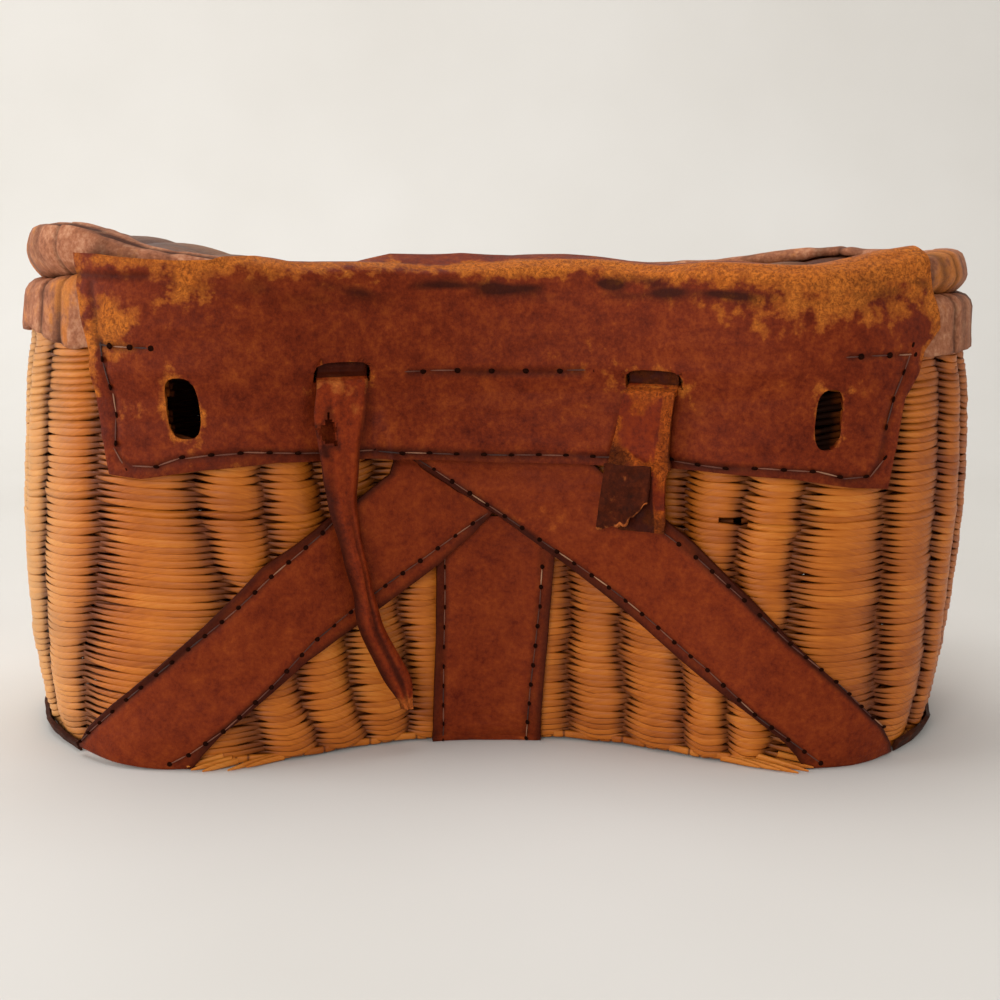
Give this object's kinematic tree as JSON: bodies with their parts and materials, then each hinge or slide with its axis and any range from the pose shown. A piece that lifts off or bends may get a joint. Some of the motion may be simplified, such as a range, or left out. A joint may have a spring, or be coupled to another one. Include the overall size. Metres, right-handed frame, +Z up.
{
  "type": "fishing creel bag",
  "caption": "Kidney-shaped willow fishing creel bound in leather, with a broad leather hinge flap, torn strap ends and sewn bands.",
  "frame": {"origin": "middle of the footprint, on the surface that the base stands on", "axes": "+Z up; the hollow back with the hinge flap and straps faces -Y; +X along the width, to the right of someone who looks at the back"},
  "size_m": [0.355, 0.1748, 0.1876],
  "materials": {
    "willow": "satin",
    "lid_willow": "satin",
    "binding_leather": "satin",
    "flap_leather": "satin",
    "band_leather": "satin",
    "strap_leather": "matte",
    "foot_leather": "matte"
  },
  "bodies": {
    "root": {"basket": "willow", "rim_binding": "binding_leather", "lid": "lid_willow", "lid_binding": "binding_leather", "hinge_flap": "flap_leather", "strap_left": "strap_leather", "strap_right": "strap_leather", "band_right": "band_leather", "band_left": "band_leather", "band_centre": "band_leather", "foot_binding": "foot_leather"}
  },
  "joints": []
}
